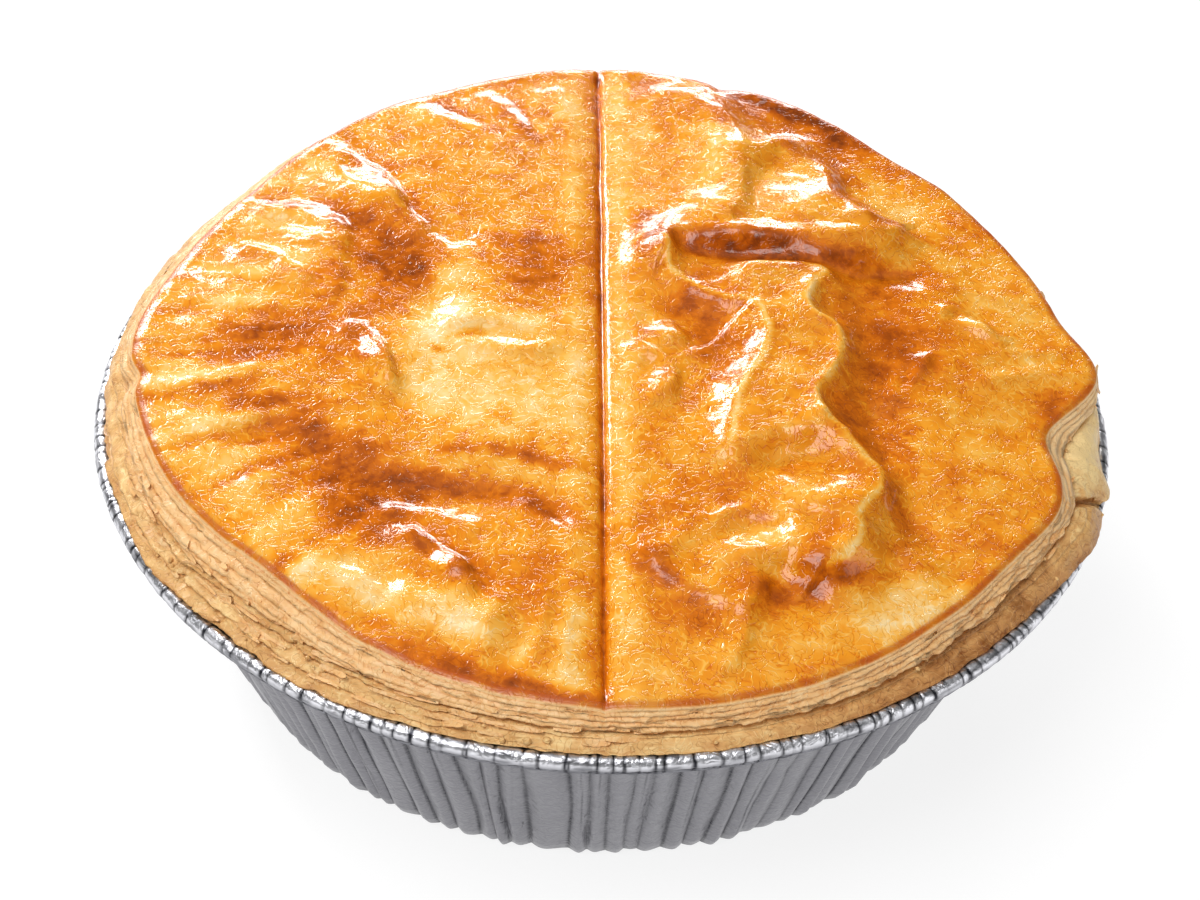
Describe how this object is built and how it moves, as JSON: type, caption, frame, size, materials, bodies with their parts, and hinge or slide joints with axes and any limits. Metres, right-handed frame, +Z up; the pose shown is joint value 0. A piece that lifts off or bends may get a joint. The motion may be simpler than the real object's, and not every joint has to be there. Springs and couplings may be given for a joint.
{
  "type": "beef and onion pie in foil tray",
  "caption": "Round savoury pie with a creased, glossy puff pastry lid and a line pressed across it, in a fluted foil tray with a rolled rim.",
  "frame": {"origin": "middle of the tray's base, on the surface that it stands on", "axes": "+Z up through the middle of the tray, the line pressed across the lid runs along Y, -Y is the front"},
  "size_m": [0.1268, 0.1268, 0.0457],
  "materials": {
    "foil": "satin pressed foil with a brighter rolled rim",
    "shortcrust": "matt pale baked shortcrust, standing in for food",
    "puff_pastry": "egg-glazed golden brown puff pastry, standing in for food"
  },
  "bodies": {
    "root": {"foil_tray": "foil", "pastry_case": "shortcrust", "pastry_lid": "puff_pastry"}
  },
  "joints": []
}
